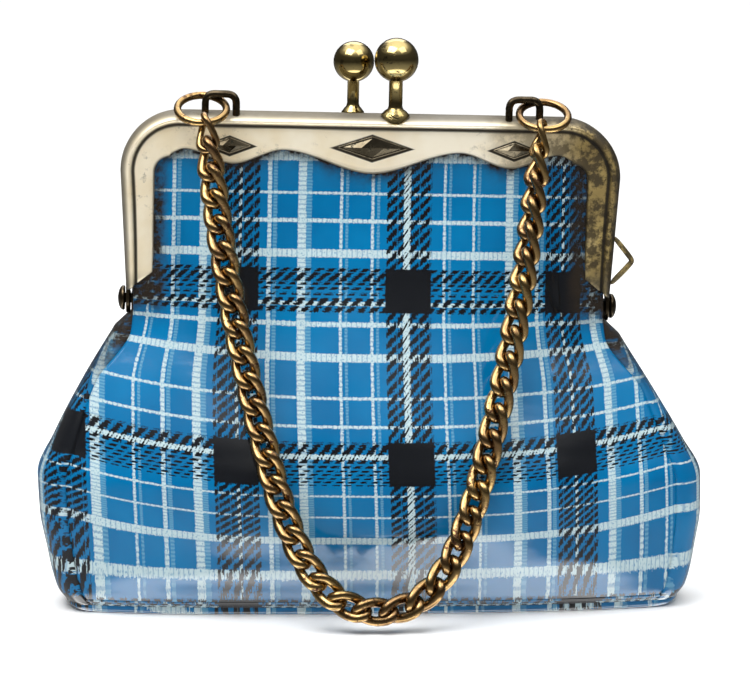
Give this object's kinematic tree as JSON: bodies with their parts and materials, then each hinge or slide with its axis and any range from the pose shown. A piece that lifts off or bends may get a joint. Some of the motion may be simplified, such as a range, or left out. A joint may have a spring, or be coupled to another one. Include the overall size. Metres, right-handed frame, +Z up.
{
  "type": "kiss-lock purse",
  "caption": "Small kiss-lock purse of glossy blue tartan vinyl in a gold pressed-metal frame with two ball knobs, jump rings and a curb-chain handle.",
  "frame": {"origin": "on the surface that the bag stands on, under the middle of its base", "axes": "+X to the viewer's right along the frame, +Z up, the front with the chain faces -Y"},
  "size_m": [0.1349, 0.0543, 0.1149],
  "materials": {
    "frame_gold": "polished pale gold plating, worn",
    "knob_gold": "polished dark gold",
    "dark_brass": "tarnished",
    "chain_brass": "antique brass with reddish tarnish",
    "tartan_vinyl": "glossy printed vinyl, blue, black and off-white tartan",
    "board": "matt grey board"
  },
  "bodies": {
    "bag": {"front_frame": "frame_gold", "front_clasp_knob": "knob_gold", "hinge_rivet_left": "dark_brass", "hinge_rivet_right": "dark_brass", "lug_left": "dark_brass", "lug_right": "dark_brass", "ring_left": "chain_brass", "ring_right": "chain_brass", "side_loop": "frame_gold", "front_panel": "tartan_vinyl", "rear_panel_lower": "tartan_vinyl", "rear_panel_fold": "tartan_vinyl", "gusset_left": "tartan_vinyl", "gusset_right": "tartan_vinyl", "base_panel": "tartan_vinyl", "base_board": "board"},
    "rear_half": {"rear_frame": "frame_gold", "rear_clasp_knob": "knob_gold", "rear_panel_upper": "tartan_vinyl"},
    "handle": {"chain_link_01": "chain_brass", "chain_link_02": "chain_brass", "chain_link_03": "chain_brass", "chain_link_04": "chain_brass", "chain_link_05": "chain_brass", "chain_link_06": "chain_brass", "chain_link_07": "chain_brass", "chain_link_08": "chain_brass", "chain_link_09": "chain_brass", "chain_link_10": "chain_brass", "chain_link_11": "chain_brass", "chain_link_12": "chain_brass", "chain_link_13": "chain_brass", "chain_link_14": "chain_brass", "chain_link_15": "chain_brass", "chain_link_16": "chain_brass", "chain_link_17": "chain_brass", "chain_link_18": "chain_brass", "chain_link_19": "chain_brass", "chain_link_20": "chain_brass", "chain_link_21": "chain_brass", "chain_link_22": "chain_brass", "chain_link_23": "chain_brass", "chain_link_24": "chain_brass", "chain_link_25": "chain_brass", "chain_link_26": "chain_brass", "chain_link_27": "chain_brass", "chain_link_28": "chain_brass", "chain_link_29": "chain_brass", "chain_link_30": "chain_brass", "chain_link_31": "chain_brass", "chain_link_32": "chain_brass", "chain_link_33": "chain_brass", "chain_link_34": "chain_brass", "chain_link_35": "chain_brass", "chain_link_36": "chain_brass", "chain_link_37": "chain_brass", "chain_link_38": "chain_brass", "chain_link_39": "chain_brass", "chain_link_40": "chain_brass", "chain_link_41": "chain_brass"}
  },
  "joints": [
    {"name": "frame_open", "type": "hinge", "parent": "bag", "child": "rear_half", "pos_m": [0, 0, 0.0615], "axis": [-0.9997, 0, 0.0227], "range_deg": [0, 60], "deforming": ["rear_panel_fold"]},
    {"name": "handle_swing", "type": "hinge", "parent": "bag", "child": "handle", "pos_m": [0.00082, -0.00995, 0.09782], "axis": [-0.9997, 0, 0.0227], "range_deg": [0, 180]}
  ]
}
